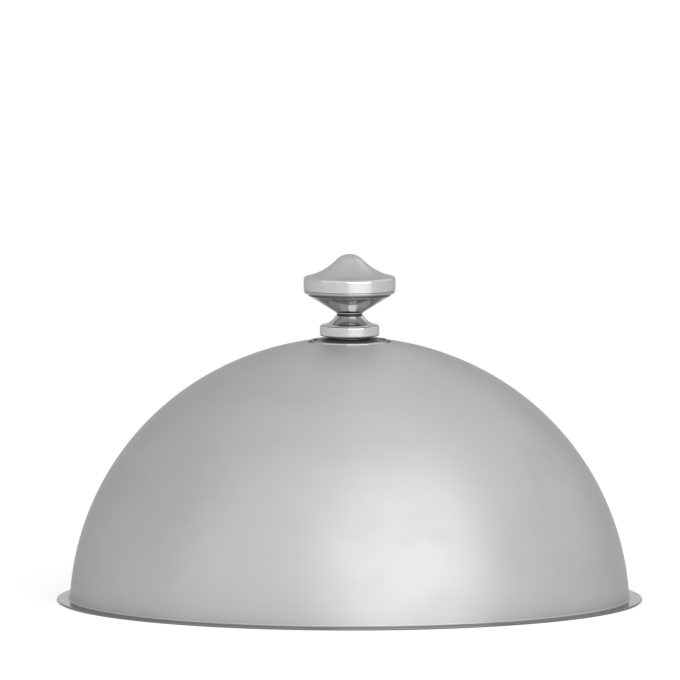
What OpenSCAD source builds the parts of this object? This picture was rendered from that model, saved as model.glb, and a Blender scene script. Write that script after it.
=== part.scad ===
// Buffet food cover: a drawn steel dome with a hemmed flange and a turned, screw-on lifting knob.
// Millimetres, +Z up. The hem rests on z = 0, and every turned piece shares the Z axis.

/* [Dome] */
// Outer diameter of the flange that rests on the dish
flange_d = 300; // [220:1:400]
// Flange width outside the widest part of the wall
flange_w = 6.5; // [5:0.5:12]
// Thickness of the drawn sheet
sheet_t = 0.6; // [0.4:0.1:0.8]
// Width of the hem folded under the flange
hem_w = 4; // [2:0.5:5]
// Outside radius between the wall and the flange
flange_fillet_r = 1; // [0.8:0.1:4]
// How far the widest circle of the dome's curve lies below the hem
equator_drop = 5.9; // [0:0.1:15]
// Distance of the shoulder arc's centre from the axis
shoulder_inset = 3.6; // [1:0.1:10]
// Angle from the axis at which the crown arc meets the shoulder arc, in degrees
crown_angle = 30; // [20:1:45]

/* [Knob seat] */
// Radius of the lip where the crown turns down into the seat
seat_lip_r = 1; // [0.9:0.1:2]
// Straight height of the seat's wall
seat_wall_h = 0.2; // [0.1:0.1:2]
// Radius between the seat's wall and its floor
seat_corner_r = 0.4; // [0.2:0.1:1]

/* [Rosette and foot] */
// Diameter of the polished rosette
rosette_d = 41.4; // [36:0.2:50]
// Radius of the round bead on the rosette's edge
bead_r = 1.2; // [0.8:0.1:1.6]
// Depth of the groove inside the bead, below the bead's top
bead_groove = 0.8; // [0.2:0.1:1]
// Height of the rosette at its hub
rosette_h = 3.3; // [3:0.1:6]
// Diameter of the foot where it stands on the rosette
foot_d = 18; // [16.4:0.2:22]
// Height of the foot
foot_h = 1.2; // [1:0.1:4]
// Height of the foot's straight edge
foot_edge_h = 0.3; // [0.2:0.1:0.8]
// How deep the foot's side hollows inside a straight cone
foot_hollow = 0.3; // [0.1:0.1:0.5]

/* [Collar and pedestal] */
// Diameter of the collar ring
collar_d = 30.6; // [28:0.2:36]
// Height of the collar ring
collar_h = 5.4; // [3:0.1:8]
// Radius on the collar's two edges
collar_edge_r = 0.8; // [0.2:0.1:1.4]
// Diameter of the pedestal where it stands on the collar
pedestal_d = 28; // [22:0.2:28.6]
// Height of the pedestal
pedestal_h = 4.9; // [4:0.1:9]
// Height of the pedestal's straight edge
pedestal_edge_h = 0.4; // [0.2:0.1:1]
// How deep the pedestal's side hollows inside a straight cone
pedestal_hollow = 1; // [0.3:0.1:1.2]

/* [Neck] */
// Diameter of the turned pieces at the neck and the foot's waist
neck_d = 14.4; // [13.6:0.2:16]
// Diameter of the friction washer in the neck
neck_washer_d = 13; // [11:0.2:13.4]
// Thickness of the friction washer
neck_washer_t = 1.4; // [0.5:0.1:1.8]

/* [Knob bowl] */
// Thickness of the bowl's wall
bowl_t = 1; // [0.7:0.1:1.4]
// Thickness of the bowl's floor, which carries the threaded bush
bowl_floor_t = 2.4; // [2.2:0.1:3]
// Height of the bowl from its base to the lip of its cone
bowl_lip_h = 9.1; // [7:0.1:12]
// Diameter of the lip of the bowl's cone
bowl_lip_d = 43; // [40:0.2:43.4]
// Height of the bowl's straight heel above the neck
bowl_heel_h = 0.4; // [0.3:0.1:2]
// Radius between the heel and the cone
bowl_heel_r = 2; // [0.6:0.1:3]
// Height of the dark seam between the lip and the rolled rim
seam_h = 0.9; // [0.4:0.1:1.2]
// Depth of the seam
seam_depth = 0.8; // [0.4:0.1:1]
// Radius of the bowl's rolled rim
rim_bead_r = 0.95; // [0.8:0.05:1.2]
// Radius on the upper edge of the rolled rim, under the rim band
rim_bead_edge_r = 0.3; // [0.1:0.1:0.6]

/* [Knob crown] */
// Diameter of the knob's rim band
rim_d = 47.2; // [44.8:0.2:56]
// How far the rolled rim lies inside the rim band
rim_inset = 0.3; // [0.2:0.1:0.8]
// Radius on the lower edge of the rim band
rim_edge_r = 0.2; // [0.1:0.1:0.6]
// Height of the straight rim band
rim_band_h = 5.3; // [3:0.1:9]
// Thickness of the crown's sheet
crown_t = 0.8; // [0.6:0.1:1.2]
// Radius of the shoulder above the rim band
crown_shoulder_r = 1.6; // [1.3:0.1:3]
// Radius of the crown's hollow flare
crown_flare_r = 30; // [20:1:60]
// Radius of the crown's round tip
crown_tip_r = 9.5; // [6:0.1:10]
// Slope at which the tip meets the flare, in degrees
crown_slope = 46; // [35:1:55]
// Height of the ring that locates the crown inside the bowl
crown_spigot_h = 2.4; // [1:0.1:4]

/* [Fixing] */
// Diameter of the fixing screw's thread
screw_d = 6; // [5:0.5:6]
// Length of the screw under its head
screw_l = 35; // [33:1:38]
// Diameter of the screw's head
screw_head_d = 12; // [10:0.5:14]
// Height of the screw's head
screw_head_h = 4; // [3.5:0.1:5]
// Radius on the edge of the screw's head
screw_head_edge_r = 2.4; // [0.5:0.1:3]
// Chamfer on the screw's end
screw_chamfer = 0.8; // [0.3:0.1:1.2]
// Length of each arm pair of the head's cross recess
recess_l = 6; // [4:0.2:7]
// Width of the recess's arms
recess_w = 1.3; // [0.8:0.1:1.6]
// Depth of the recess
recess_depth = 2.2; // [1:0.1:2.6]
// Diameter of the backing washer inside the dome
backing_d = 24; // [18:0.5:34]
// Thickness of the backing washer
backing_t = 1.6; // [1:0.1:2]
// Diameter of the split lock washer
lock_d = 11.8; // [10:0.2:13]
// Thickness of the lock washer
lock_t = 1.5; // [1:0.1:2]
// Width of the lock washer's split
lock_split = 1.2; // [0.6:0.1:2]
// Diameter of the gasket under the rosette
gasket_d = 30; // [24:0.5:33]
// Thickness of the gasket
gasket_t = 0.5; // [0.3:0.1:1]
// Width of the threaded bush across its flats
bush_flats = 11; // [10:0.5:12]
// Height of the threaded bush above the bowl's floor
bush_h = 10.5; // [8:0.5:12]
// Diameter of the bush's neck in the bowl's floor
bush_neck_d = 9; // [8.4:0.2:9.6]

/* [Clearances] */
// Radial gap between the rosette and the wall of its seat
seat_gap = 0.3; // [0.2:0.05:0.6]
// Radial gap between the screw and each piece threaded over it
bore_gap = 0.2; // [0.1:0.05:0.4]
// Radial gap that stands for the running fit of the thread
thread_gap = 0.08; // [0.05:0.01:0.1]
// Radial gap between parts that locate in one another
locate_gap = 0.1; // [0.05:0.05:0.2]

/* [Hidden] */
$fn = 128;

// Overrun of the cuts that have to leave their piece
overrun = 1;
// Largest angle between two points on an arc, in degrees
arc_step = 3;
// Longest fillet tangent, as a share of the shorter side at its corner
tangent_limit_share = 0.5;
hex_sides = 6;
cross_turns = [0, 90];
split_turn = 20;

brushed_steel = "#c4c7c9";
polished_steel = "#a3a8ab";
satin_steel = "#b4b8ba";
plain_steel = "#8f9498";
black_fibre = "#1c1c1e";
silicone = "#d6d6d0";

// Dome: two arcs tangent at crown_angle, a fillet, and the flange, as [radius, height] points
flange_r = flange_d / 2;
flange_top = 2 * sheet_t;
shoulder_r = flange_r - flange_w - shoulder_inset;
shoulder_c = [shoulder_inset, -equator_drop];
crown_r = shoulder_r + shoulder_inset / sin(crown_angle);
crown_c = [0, -equator_drop - shoulder_inset / tan(crown_angle)];
fillet_z = flange_top + flange_fillet_r;
fillet_rise = fillet_z - shoulder_c.y;
fillet_run = sqrt((shoulder_r + flange_fillet_r) ^ 2 - fillet_rise ^ 2);
fillet_c = [shoulder_c.x + fillet_run, fillet_z];
fillet_angle = atan2(fillet_rise, fillet_run);

// Seat: the crown turns down over a lip into a flat-floored recess
rosette_r = rosette_d / 2;
seat_r = rosette_r + seat_gap;
lip_x = seat_r + seat_lip_r;
lip_c = [lip_x, crown_c.y + sqrt((crown_r - seat_lip_r) ^ 2 - lip_x ^ 2)];
lip_angle = atan2(lip_c.y - crown_c.y, lip_c.x);
seat_corner_c = [seat_r - seat_corner_r, lip_c.y - seat_wall_h];
seat_z = seat_corner_c.y - seat_corner_r;

// Heights of the stacked pieces, from the seat upwards
foot_z = seat_z + rosette_h;
collar_z = foot_z + foot_h;
pedestal_z = collar_z + collar_h;
neck_washer_z = pedestal_z + pedestal_h;
bowl_z = neck_washer_z + neck_washer_t;
lip_z = bowl_z + bowl_lip_h;
crown_z = lip_z + seam_h + 2 * rim_bead_r;

// Heights of the fixing, from the seat's floor downwards
backing_z = seat_z - sheet_t - backing_t;
lock_z = backing_z - lock_t;

// Bores on the screw
screw_r = screw_d / 2;
bore_r = screw_r + bore_gap;
thread_r = screw_r + thread_gap;
neck_r = neck_d / 2;

// Bowl: the inside of the cone lies bowl_t inside its outside
bowl_lip_r = bowl_lip_d / 2;
cone_run = bowl_lip_r - neck_r;
cone_rise = bowl_lip_h - bowl_heel_h;
cone_slope = atan2(cone_rise, cone_run);
cone_inside = bowl_t / cos(cone_slope);
rim_r = rim_d / 2;
rim_bead_outer_r = rim_r - rim_inset;
// The seam is cut seam_depth below the narrower of the two edges that it parts
seam_r = min(bowl_lip_r, rim_bead_outer_r) - seam_depth;
bowl_mouth_r = seam_r - bowl_t;
floor_inside_r = neck_r + (bowl_floor_t - bowl_heel_h - cone_inside) * cone_run / cone_rise;
mouth_inside_z = lip_z + cone_inside + (bowl_mouth_r - bowl_lip_r) * cone_rise / cone_run;

// Crown: tip, flare and shoulder arcs, each tangent to the next
crown_shoulder_c = [rim_r - crown_shoulder_r, crown_z + rim_band_h];
flare_reach = crown_tip_r + crown_flare_r;
flare_x = flare_reach * sin(crown_slope);
flare_run = flare_x - crown_shoulder_c.x;
flare_end = asin(flare_run / (crown_flare_r + crown_shoulder_r));
flare_c = [flare_x, crown_shoulder_c.y + (crown_flare_r + crown_shoulder_r) * cos(flare_end)];
tip_c = [0, flare_c.y - flare_reach * cos(crown_slope)];
spigot_r = bowl_mouth_r - locate_gap;

function unit(v) = v / norm(v);
function flat(p) = [p.x, p.y];
function turn(a, b) = a.x * b.y - a.y * b.x;
function reversed(points) = [for (i = [len(points) - 1 : -1 : 0]) points[i]];

// Points along an arc about c, from one angle to another
function arc(c, r, from, to) =
    let (steps = max(1, ceil(abs(to - from) / arc_step)))
    [for (i = [0 : steps]) let (a = from + (to - from) * i / steps) c + r * [cos(a), sin(a)]];

// The fillet of radius r at corner v, between the sides that lead to a and b
function fillet(v, a, b, r) =
    let (side_a = unit(a - v), side_b = unit(b - v))
    let (half = acos(side_a * side_b) / 2)
    let (limit = tangent_limit_share * min(norm(a - v), norm(b - v)))
    let (tangent = min(r / tan(half), limit))
    let (fillet_r = tangent * tan(half))
    let (c = v + unit(side_a + side_b) * fillet_r / sin(half))
    let (out = v + side_a * tangent - c)
    let (from = atan2(out.y, out.x))
    let (sweep = (180 - 2 * half) * sign(turn(v - a, b - v)))
    arc(c, fillet_r, from, from + sweep);

// An outline of [radius, height] or [radius, height, fillet] points, with its fillets as arcs
function rounded(points) =
    let (count = len(points))
    [for (i = [0 : count - 1])
        let (before = points[(i + count - 1) % count], after = points[(i + 1) % count])
        each len(points[i]) > 2
            ? fillet(flat(points[i]), flat(before), flat(after), points[i].z)
            : [points[i]]];

// Points of a hollow between two points, depth deep at its middle
function hollow(from, to, depth) =
    let (half = norm(to - from) / 2, r = (half ^ 2 + depth ^ 2) / (2 * depth))
    let (outward = unit([to.y - from.y, from.x - to.x]))
    let (c = (from + to) / 2 + outward * (r - depth))
    let (middle = atan2(-outward.y, -outward.x), spread = asin(half / r))
    arc(c, r, middle + spread, middle - spread);

// A turned piece from its half section
module turned(points) {
    rotate_extrude() polygon(rounded(points));
}

module washer(z, outer_r, inner_r, t) {
    translate([0, 0, z]) difference() {
        cylinder(r = outer_r, h = t);
        translate([0, 0, -overrun]) cylinder(r = inner_r, h = t + 2 * overrun);
    }
}

module dome_shell() {
    color(brushed_steel) turned(concat(
        seat_side(0),
        arc(crown_c, crown_r, lip_angle, 90 - crown_angle),
        arc(shoulder_c, shoulder_r, 90 - crown_angle, fillet_angle),
        arc(fillet_c, flange_fillet_r, 180 + fillet_angle, 270),
        arc([flange_r - sheet_t, sheet_t], sheet_t, 90, -90),
        [[flange_r - hem_w, 0], [flange_r - hem_w, sheet_t]],
        arc(fillet_c, flange_fillet_r + sheet_t, 270, 180 + fillet_angle),
        arc(shoulder_c, shoulder_r - sheet_t, fillet_angle, 90 - crown_angle),
        arc(crown_c, crown_r - sheet_t, 90 - crown_angle, lip_angle),
        reversed(seat_side(sheet_t))
    ));
}

// The pressed recess for the rosette, from its hole to its lip, at a depth inside the sheet
function seat_side(depth) = concat(
    [[bore_r, seat_z - depth]],
    arc(seat_corner_c, seat_corner_r + depth, 270, 360),
    arc(lip_c, seat_lip_r - depth, 180, lip_angle));

module crown_gasket() {
    color(silicone) washer(seat_z, gasket_d / 2, bore_r, gasket_t);
}

module rosette() {
    bead_top = 2 * bead_r;
    pocket_r = gasket_d / 2 + locate_gap;
    color(polished_steel) translate([0, 0, seat_z]) turned([
        [bore_r, gasket_t],
        [pocket_r, gasket_t],
        [pocket_r, 0],
        [rosette_r, 0, bead_r],
        [rosette_r, bead_top, bead_r],
        [rosette_r - bead_top, bead_top, bead_r],
        [rosette_r - bead_top, bead_top - bead_groove],
        [foot_d / 2, rosette_h],
        [bore_r, rosette_h],
    ]);
}

module foot() {
    base = [foot_d / 2, foot_edge_h];
    waist = [neck_r, foot_h];
    color(polished_steel) translate([0, 0, foot_z])
        turned(concat([[bore_r, 0], [base.x, 0]], hollow(base, waist, foot_hollow), [[bore_r, foot_h]]));
}

module collar() {
    collar_r = collar_d / 2;
    color(satin_steel) translate([0, 0, collar_z]) turned([
        [bore_r, 0],
        [collar_r, 0, collar_edge_r],
        [collar_r, collar_h, collar_edge_r],
        [bore_r, collar_h],
    ]);
}

module pedestal() {
    base = [pedestal_d / 2, pedestal_edge_h];
    neck = [neck_r, pedestal_h];
    color(satin_steel) translate([0, 0, pedestal_z]) turned(concat(
        [[bore_r, 0], [base.x, 0]],
        hollow(base, neck, pedestal_hollow),
        [[bore_r, pedestal_h]]
    ));
}

module neck_washer() {
    color(black_fibre) washer(neck_washer_z, neck_washer_d / 2, bore_r, neck_washer_t);
}

module knob_bowl() {
    hole_r = bush_neck_d / 2 + locate_gap;
    color(satin_steel) turned([
        [hole_r, bowl_z],
        [neck_r, bowl_z],
        [neck_r, bowl_z + bowl_heel_h, bowl_heel_r],
        [bowl_lip_r, lip_z],
        [seam_r, lip_z],
        [seam_r, lip_z + seam_h],
        [rim_bead_outer_r, lip_z + seam_h, rim_bead_r],
        [rim_bead_outer_r, crown_z, rim_bead_edge_r],
        [bowl_mouth_r, crown_z],
        [bowl_mouth_r, mouth_inside_z],
        [floor_inside_r, bowl_z + bowl_floor_t],
        [hole_r, bowl_z + bowl_floor_t],
    ]);
}

module threaded_bush() {
    color(plain_steel) translate([0, 0, bowl_z]) difference() {
        union() {
            cylinder(r = bush_neck_d / 2, h = bowl_floor_t);
            translate([0, 0, bowl_floor_t])
                cylinder(d = bush_flats / cos(180 / hex_sides), h = bush_h, $fn = hex_sides);
        }
        translate([0, 0, -overrun]) cylinder(r = thread_r, h = bowl_floor_t + bush_h + 2 * overrun);
    }
}

module knob_crown() {
    color(satin_steel) turned(concat(
        crown_side(crown_t),
        [
            [rim_r - crown_t, crown_z + crown_t],
            [spigot_r - crown_t, crown_z + crown_t],
            [spigot_r - crown_t, crown_z - crown_spigot_h],
            [spigot_r, crown_z - crown_spigot_h],
            [spigot_r, crown_z],
            [rim_r, crown_z, rim_edge_r],
        ],
        reversed(crown_side(0))
    ));
}

// The crown's tip, flare and shoulder, from the axis outwards, at a depth inside the sheet
function crown_side(depth) = concat(
    arc(tip_c, crown_tip_r - depth, 90, 90 - crown_slope),
    arc(flare_c, crown_flare_r + depth, 270 - crown_slope, 270 - flare_end),
    arc(crown_shoulder_c, crown_shoulder_r - depth, 90 - flare_end, 0));

module fixing_screw() {
    head_r = screw_head_d / 2;
    head_z = lock_z - screw_head_h;
    color(plain_steel) difference() {
        turned([
            [0, head_z],
            [head_r, head_z, screw_head_edge_r],
            [head_r, lock_z],
            [screw_r, lock_z],
            [screw_r, lock_z + screw_l - screw_chamfer],
            [screw_r - screw_chamfer, lock_z + screw_l],
            [0, lock_z + screw_l],
        ]);
        for (angle = cross_turns) rotate([0, 0, angle])
            translate([-recess_l / 2, -recess_w / 2, head_z - overrun])
                cube([recess_l, recess_w, recess_depth + overrun]);
    }
}

module lock_washer() {
    color(plain_steel) difference() {
        washer(lock_z, lock_d / 2, bore_r, lock_t);
        rotate([0, 0, split_turn]) translate([0, -lock_split / 2, lock_z - overrun])
            cube([lock_d, lock_split, lock_t + 2 * overrun]);
    }
}

module backing_washer() {
    color(plain_steel) washer(backing_z, backing_d / 2, bore_r, backing_t);
}

dome_shell();
crown_gasket();
rosette();
foot();
collar();
pedestal();
neck_washer();
knob_bowl();
threaded_bush();
knob_crown();
fixing_screw();
lock_washer();
backing_washer();
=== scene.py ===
"""Looks of a buffet food cover: a satin steel dome with a turned and polished lifting knob."""

import math
from typing import NamedTuple

import bmesh
import bpy
from bpy.props import FloatProperty, FloatVectorProperty, IntProperty, PointerProperty
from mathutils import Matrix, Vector


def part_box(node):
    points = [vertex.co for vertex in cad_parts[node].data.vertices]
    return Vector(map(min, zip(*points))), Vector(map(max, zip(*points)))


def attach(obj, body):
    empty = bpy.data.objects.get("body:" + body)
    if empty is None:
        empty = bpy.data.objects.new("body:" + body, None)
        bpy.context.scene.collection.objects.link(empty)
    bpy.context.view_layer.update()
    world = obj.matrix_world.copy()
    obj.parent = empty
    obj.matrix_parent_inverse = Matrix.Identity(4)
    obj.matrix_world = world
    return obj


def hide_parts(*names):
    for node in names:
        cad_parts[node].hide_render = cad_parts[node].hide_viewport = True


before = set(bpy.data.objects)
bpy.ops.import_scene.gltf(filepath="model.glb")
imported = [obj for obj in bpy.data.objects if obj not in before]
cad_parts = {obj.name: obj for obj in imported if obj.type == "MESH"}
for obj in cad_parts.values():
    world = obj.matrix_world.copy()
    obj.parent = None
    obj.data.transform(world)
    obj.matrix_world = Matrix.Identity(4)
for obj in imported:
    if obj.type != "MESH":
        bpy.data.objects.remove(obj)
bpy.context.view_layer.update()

bl_info = {
    "name": "Buffet Food Cover",
    "version": (1, 0, 0),
    "blender": (4, 5, 0),
    "location": "View3D > Sidebar > Food Cover",
    "description": "Builds the finished pieces of a steel food cover around its packed frame",
    "category": "Object",
}

MM = 0.001
# Straight runs keep two extra points this close to their ends, so that flat faces shade flat
HOLD = 0.03 * MM
# Radius of the edges that are only broken, not rounded
BROKEN_EDGE = 0.12 * MM
# Points of an outline closer than this are one point
SAME_POINT = 1e-7
# A cutter starts this far outside the piece
OVERRUN = 0.25 * MM
# Width over which one finish fades into another
FADE = MM
ARC_STEP = math.radians(6)
CROWN_ARC_STEP = math.radians(2)
DOME_ARC_STEP = math.radians(1.2)
SHARP_ANGLE = math.radians(35)
QUARTER = math.pi / 2
HALF_TURN = math.pi
# Shares of half a pitch at which the thread's root ends and its crest begins
THREAD_ROOT = 0.2
THREAD_CREST = 0.88
THREAD_ROWS_PER_TURN = 12
BAR_EDGE_POINTS = 4
FLOOR_SIDES = 96
# Slant that keeps the lathe lines' drift from repeating on both sides of the axis
DRIFT_SLANT = 0.6
# Noise between these values fades a smudge or a hairline scratch in
SMUDGE_RANGE = (0.42, 0.78)
HAIR_RANGE = (0.7, 0.76)
# Rotation of the hairlines, and how much finer they are across than along
HAIR_LEAN = (0.6, 0.4, 0.9)
HAIR_STRETCH = (1.0, 14.0, 14.0)
# How far lathe bands and smudges darken steel, and how much of the lines buffing takes away
BAND_SHADE = 0.05
SMUDGE_SHADE = 0.04
BUFFED_AWAY = 0.8
# How much the grain of fibre and silicone changes their roughness
GRAIN_ROUGHNESS = 0.2
# Turn of the shader's brushing that spreads reflections across lines round the axis
ACROSS_LINES = 0.25


class SteelMarks(NamedTuple):
    """Lathe lines per metre and their height, and how far lines and smudges change the roughness."""
    lines_per_metre: float
    line_height: float
    line_roughness: float
    smudge_roughness: float


class Zone(NamedTuple):
    """A stretch of "Radius" or "Height" that was finished otherwise, and how much darker it is."""
    measure: str
    fades_in: float
    full: float
    roughness: float
    shade: float = 0.0


DOME_MARKS = SteelMarks(900.0, 0.004 * MM, 0.06, 0.05)
KNOB_MARKS = SteelMarks(2600.0, 0.002 * MM, 0.06, 0.06)
CROWN_MARKS = SteelMarks(2200.0, 0.003 * MM, 0.06, 0.05)
MIRROR_MARKS = SteelMarks(2600.0, 0.001 * MM, 0.03, 0.05)
FASTENER_MARKS = SteelMarks(3500.0, 0.004 * MM, 0.1, 0.1)


# Settings

def length(label, text, size_mm):
    """A size in millimetres, kept in metres."""
    return FloatProperty(name=label, description=text, default=size_mm * MM, min=0.0, unit="LENGTH")


def angle(label, text, degrees):
    """An angle in degrees, kept in radians."""
    return FloatProperty(name=label, description=text, default=math.radians(degrees), unit="ROTATION")


def share(label, text, value):
    """A value from 0 to 1."""
    return FloatProperty(name=label, description=text, default=value, min=0.0, max=1.0, subtype="FACTOR")


def colour(label, text, value):
    """A linear colour."""
    return FloatVectorProperty(name=label, description=text, default=value, size=3, min=0.0, max=1.0,
                               subtype="COLOR")


class DomeSizes(bpy.types.PropertyGroup):
    """Sizes of the drawn dome that the frame's boxes don't give."""
    flange_width: length("Flange width", "Flange outside the widest part of the wall", 6.5)
    sheet: length("Sheet", "Thickness of the drawn sheet", 0.6)
    hem_width: length("Hem width", "Width of the hem folded under the flange", 4)
    hem_slit: length("Hem slit", "Gap between the flange and its hem", 0.08)
    flange_fillet: length("Flange fillet", "Outside radius between wall and flange", 1)
    equator_drop: length("Equator drop", "Depth of the curve's widest circle below the hem", 5.9)
    shoulder_inset: length("Shoulder inset", "Distance of the shoulder arc's centre from the axis", 3.6)
    crown_angle: angle("Crown angle", "Angle from the axis where crown and shoulder arcs meet", 30)
    seat_lip: length("Seat lip", "Radius of the lip where the crown turns down into the seat", 1)
    seat_wall: length("Seat wall", "Straight height of the seat's wall", 0.2)
    seat_corner: length("Seat corner", "Radius between the seat's wall and floor", 0.4)
    seat_gap: length("Seat gap", "Radial gap between the rosette and its seat", 0.3)
    sides: IntProperty(name="Sides", description="Faces around the dome", default=256, min=24)


class KnobSizes(bpy.types.PropertyGroup):
    """Sizes of the knob's turned pieces that the frame's boxes don't give."""
    bore: length("Bore", "Radius of the hole through the pieces on the screw", 3.2)
    bead: length("Bead", "Radius of the round bead on the rosette's edge", 1.2)
    bead_groove: length("Bead groove", "Depth of the groove inside the bead", 0.8)
    pocket_gap: length("Pocket gap", "Radial gap around the gasket in its pocket", 0.1)
    foot_edge: length("Foot edge", "Height of the foot's straight edge", 0.3)
    foot_hollow: length("Foot hollow", "Depth of the hollow in the foot's side", 0.3)
    collar_edge: length("Collar edge", "Radius on the collar's edges", 0.8)
    pedestal_edge: length("Pedestal edge", "Height of the pedestal's straight edge", 0.4)
    pedestal_hollow: length("Pedestal hollow", "Depth of the hollow in the pedestal's side", 1)
    neck: length("Neck", "Radius of the turned pieces at the neck", 7.2)
    bowl_wall: length("Bowl wall", "Thickness of the bowl's wall", 1)
    bowl_floor: length("Bowl floor", "Thickness of the bowl's floor", 2.4)
    bowl_hole: length("Bowl hole", "Radius of the hole for the bush in the bowl's floor", 4.6)
    heel_height: length("Heel height", "Height of the bowl's straight heel", 0.4)
    heel: length("Heel", "Radius between the heel and the cone", 2)
    lip_height: length("Lip height", "Height of the cone's lip above the bowl's base", 9.1)
    lip: length("Lip", "Radius of the cone's lip", 21.5)
    seam_height: length("Seam height", "Height of the dark seam under the rolled rim", 0.9)
    seam_depth: length("Seam depth", "Depth of the dark seam", 0.8)
    rim_bead: length("Rim bead", "Radius of the bowl's rolled rim", 0.95)
    rim_bead_edge: length("Rim bead edge", "Radius on the upper edge of the rolled rim", 0.3)
    rim_edge: length("Rim edge", "Radius on the lower edge of the rim band", 0.2)
    rim_band: length("Rim band", "Height of the straight rim band", 5.3)
    crown_wall: length("Crown wall", "Thickness of the crown's sheet", 0.8)
    crown_shoulder: length("Crown shoulder", "Radius of the shoulder above the rim band", 1.6)
    crown_flare: length("Crown flare", "Radius of the crown's hollow flare", 30)
    crown_tip: length("Crown tip", "Radius of the crown's round tip", 9.5)
    crown_slope: angle("Crown slope", "Slope where the tip meets the flare", 46)
    spigot: length("Spigot", "Height of the ring that locates the crown in the bowl", 2.4)
    spigot_gap: length("Spigot gap", "Radial gap around the spigot", 0.1)
    sides: IntProperty(name="Sides", description="Faces around each turned piece", default=192, min=24)


class FixingSizes(bpy.types.PropertyGroup):
    """Sizes of the screw and washers that the frame's boxes don't give."""
    screw: length("Screw", "Outer radius of the screw's thread", 3)
    pitch: length("Pitch", "Rise of the thread in one turn", 1)
    thread_depth: length("Thread depth", "Depth of the thread", 0.55)
    plain_shank: length("Plain shank", "Length under the head without thread", 1.2)
    head_edge: length("Head edge", "Radius on the edge of the screw's head", 2.4)
    end_chamfer: length("End chamfer", "Chamfer on the screw's end", 0.8)
    recess_length: length("Recess length", "Length of each arm pair of the cross recess", 6)
    recess_width: length("Recess width", "Width of the recess's arms", 1.3)
    recess_depth: length("Recess depth", "Depth of the cross recess", 2.2)
    recess_taper: share("Recess taper", "Size of the recess's floor as a share of its mouth", 0.55)
    washer_edge: length("Washer edge", "Radius on the edges of the steel washers", 0.25)
    soft_edge: length("Soft edge", "Radius on the edges of the fibre and silicone washers", 0.15)
    split: length("Split", "Width of the lock washer's split", 1.2)
    split_step: length("Split step", "Height between the ends of the lock washer at its split", 0.25)
    split_turn: angle("Split turn", "Direction of the lock washer's split", 20)
    sides: IntProperty(name="Sides", description="Faces around each piece", default=96, min=24)


class Finishes(bpy.types.PropertyGroup):
    """Colours and roughness of the pieces."""
    dome: colour("Dome", "Satin steel of the dome", (0.455, 0.455, 0.452))
    dome_roughness: share("Dome roughness", "Roughness of the dome's satin", 0.52)
    knob: colour("Knob", "Turned steel of the knob", (0.47, 0.47, 0.466))
    knob_roughness: share("Knob roughness", "Roughness of the turned steel", 0.12)
    crown_roughness: share("Crown roughness", "Roughness of the crown's finer satin", 0.3)
    polished: colour("Polished", "Mirror steel of the rosette and foot", (0.4, 0.402, 0.405))
    edge_tint: share("Edge tint", "Share of the reflection that bare steel keeps at a grazing angle", 0.65)
    mirror_tint: share("Mirror tint", "The same share on the mirror steel", 0.25)
    dome_brushing: share("Dome brushing", "How far the dome spreads reflections across its lines", 0.6)
    flange_roughness: share("Flange roughness", "Roughness of the buffed flange", 0.16)
    # Painted shade on the flange, standing in for the dark reflection of the dome's wall in it
    flange_painted_shade: share("Flange shade", "How much darker the buffed flange is", 0.3)
    # More painted shade on the rolled edge, where it would reflect the white floor
    rolled_edge_painted_shade: share("Rolled edge shade", "How much darker still the flange's rolled edge is", 0.3)
    # Painted shade in the seam's recess under the rolled rim, where shadow falls
    seam_painted_shade: share("Seam shade", "How much darker the polish left in the bowl's seam is", 0.8)
    # Painted shade on the rolled rim, standing in for the dark dome reflected in it
    rolled_rim_painted_shade: share("Rolled rim shade", "How much darker the bowl's rolled rim is", 0.3)
    middle_roughness: share("Middle roughness", "Roughness of the satin middle under the collar", 0.45)
    polished_roughness: share("Polished roughness", "Roughness of the mirror steel", 0.07)
    fastener: colour("Fastener", "Plain steel of the screw, bush and washers", (0.38, 0.385, 0.39))
    fastener_roughness: share("Fastener roughness", "Roughness of the plain steel", 0.32)
    fibre: colour("Fibre", "Black fibre of the friction washer", (0.012, 0.012, 0.013))
    silicone: colour("Silicone", "Pale silicone of the gasket", (0.66, 0.66, 0.62))


def lamp_settings(name, text, level, width, height, bearing, rise):
    """A PropertyGroup for one soft lamp, with its own defaults in millimetres and degrees."""
    rows = {
        "level": FloatProperty(name="Level", description="Brightness, where 1 is white", default=level,
                               min=0.0),
        "width": length("Width", "Width of the lamp", width),
        "height": length("Height", "Height of the lamp", height),
        "distance": length("Distance", "From the part to the lamp", 2200),
        "bearing": angle("Bearing", "Direction to the right of the camera", bearing),
        "rise": angle("Rise", "Direction above the horizon", rise),
    }
    return type(name, (bpy.types.PropertyGroup,), {"__doc__": text, "__annotations__": rows})


KeyLamp = lamp_settings("KeyLamp", "Broad soft lamp to the right of the camera.",
                        level=2.15, width=2500, height=2300, bearing=26, rise=19)
FillLamp = lamp_settings("FillLamp", "Weak soft lamp to the left of the camera.",
                         level=0.4, width=3200, height=2800, bearing=-40, rise=32)
TopLamp = lamp_settings("TopLamp", "Weak soft lamp above the part.",
                        level=0.12, width=2400, height=2400, bearing=0, rise=66)
RimLamp = lamp_settings("RimLamp", "Weak soft lamp behind the part on its right.",
                        level=0.34, width=3200, height=2000, bearing=108, rise=36)


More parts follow.
